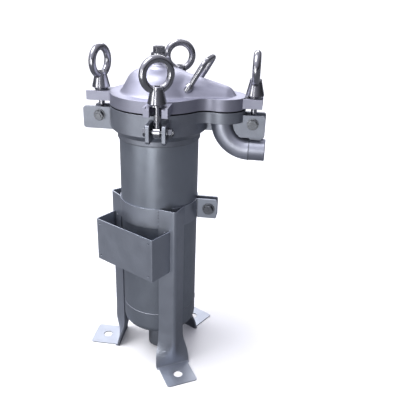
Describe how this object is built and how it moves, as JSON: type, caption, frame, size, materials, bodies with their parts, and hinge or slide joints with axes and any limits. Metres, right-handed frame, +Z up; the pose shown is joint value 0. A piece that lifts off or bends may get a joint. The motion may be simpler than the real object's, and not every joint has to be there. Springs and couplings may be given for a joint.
{
  "type": "filter housing",
  "caption": "Bag filter housing on pressed legs: swing-bolted teardrop lid with eye nuts, side inlet elbow, bottom outlet and an inner basket.",
  "frame": {"origin": "centre of the foot hole circle, on the floor under the vessel axis", "axes": "+Z up along the vessel axis, +X towards the inlet lobe and side pipe, -Y towards the nameplate side"},
  "size_m": [0.51, 0.416, 0.9384],
  "materials": {
    "cast_steel": "fine cast and bead blasted, matt",
    "shell_steel": "bead blasted, satin",
    "pipe_steel": "pickled, satin",
    "lid_steel": "bead blasted casting, matt",
    "polished_steel": "polished",
    "fastener_steel": "bright machined",
    "sheet_steel": "bead blasted sheet, satin",
    "basket_steel": "electropolished",
    "seal_rubber": "matt black elastomer"
  },
  "bodies": {
    "housing": {"shell": "shell_steel", "bottom_head": "shell_steel", "outlet_socket": "cast_steel", "flange_casting": "cast_steel", "lid_seal": "seal_rubber", "inlet_elbow": "pipe_steel", "inlet_pipe": "pipe_steel", "clevis_left": "cast_steel", "clevis_front": "cast_steel", "clevis_right": "cast_steel", "clevis_rear": "cast_steel", "clevis_pins": "fastener_steel", "pin_washers": "fastener_steel", "pin_nuts": "fastener_steel", "leg_left": "sheet_steel", "leg_front": "sheet_steel", "leg_rear": "sheet_steel", "clamp_bolt": "fastener_steel", "clamp_washers": "fastener_steel", "clamp_nut": "fastener_steel", "nameplate_bracket": "sheet_steel"},
    "bolt_left": {"swing_bolt_left": "polished_steel"},
    "bolt_front": {"swing_bolt_front": "polished_steel"},
    "bolt_right": {"swing_bolt_right": "polished_steel"},
    "bolt_rear": {"swing_bolt_rear": "polished_steel"},
    "nut_left": {"eye_nut_left": "polished_steel"},
    "nut_front": {"eye_nut_front": "polished_steel"},
    "nut_right": {"eye_nut_right": "polished_steel"},
    "nut_rear": {"eye_nut_rear": "polished_steel"},
    "lid": {"lid": "lid_steel", "lid_handle": "polished_steel"},
    "vent": {"vent_plug": "polished_steel", "vent_seal": "seal_rubber"},
    "basket": {"basket_ring": "basket_steel", "basket_wall": "basket_steel", "basket_floor": "basket_steel"},
    "bail": {"basket_bail": "basket_steel"}
  },
  "joints": [
    {"name": "swing_left", "type": "hinge", "parent": "housing", "child": "bolt_left", "pos_m": [-0.1605, 0, 0.751], "axis": [0, 1, 0], "range_deg": [-165, 0]},
    {"name": "swing_front", "type": "hinge", "parent": "housing", "child": "bolt_front", "pos_m": [0.028, -0.157, 0.751], "axis": [-1, 0, 0], "range_deg": [-165, 0]},
    {"name": "swing_right", "type": "hinge", "parent": "housing", "child": "bolt_right", "pos_m": [0.2565, 0, 0.751], "axis": [0, -1, 0], "range_deg": [-100, 0]},
    {"name": "swing_rear", "type": "hinge", "parent": "housing", "child": "bolt_rear", "pos_m": [0.028, 0.157, 0.751], "axis": [1, 0, 0], "range_deg": [-165, 0]},
    {"name": "lid_lift", "type": "slide", "parent": "housing", "child": "lid", "axis": [0, 0, 1], "range_m": [0, 0.45]},
    {"name": "nut_travel_left", "type": "slide", "parent": "bolt_left", "child": "nut_left", "axis": [0, 0, 1], "range_m": [0, 0.45]},
    {"name": "nut_travel_front", "type": "slide", "parent": "bolt_front", "child": "nut_front", "axis": [0, 0, 1], "range_m": [0, 0.45]},
    {"name": "nut_travel_right", "type": "slide", "parent": "bolt_right", "child": "nut_right", "axis": [0, 0, 1], "range_m": [0, 0.45]},
    {"name": "nut_travel_rear", "type": "slide", "parent": "bolt_rear", "child": "nut_rear", "axis": [0, 0, 1], "range_m": [0, 0.45]},
    {"name": "basket_lift", "type": "slide", "parent": "housing", "child": "basket", "axis": [0, 0, 1], "range_m": [0, 0.39]},
    {"name": "bail_fold", "type": "hinge", "parent": "basket", "child": "bail", "pos_m": [0, 0, 0.7713], "axis": [0, -1, 0], "range_deg": [0, 90]},
    {"name": "vent_unscrew", "type": "slide", "parent": "lid", "child": "vent", "axis": [0, 0, 1], "range_m": [0, 0.03]}
  ],
  "couplings": [
    {"joint": "nut_travel_left", "follows": "lid_lift", "ratio": 1},
    {"joint": "nut_travel_front", "follows": "lid_lift", "ratio": 1},
    {"joint": "nut_travel_right", "follows": "lid_lift", "ratio": 1},
    {"joint": "nut_travel_rear", "follows": "lid_lift", "ratio": 1},
    {"joint": "basket_lift", "follows": "lid_lift", "ratio": 0.86}
  ]
}
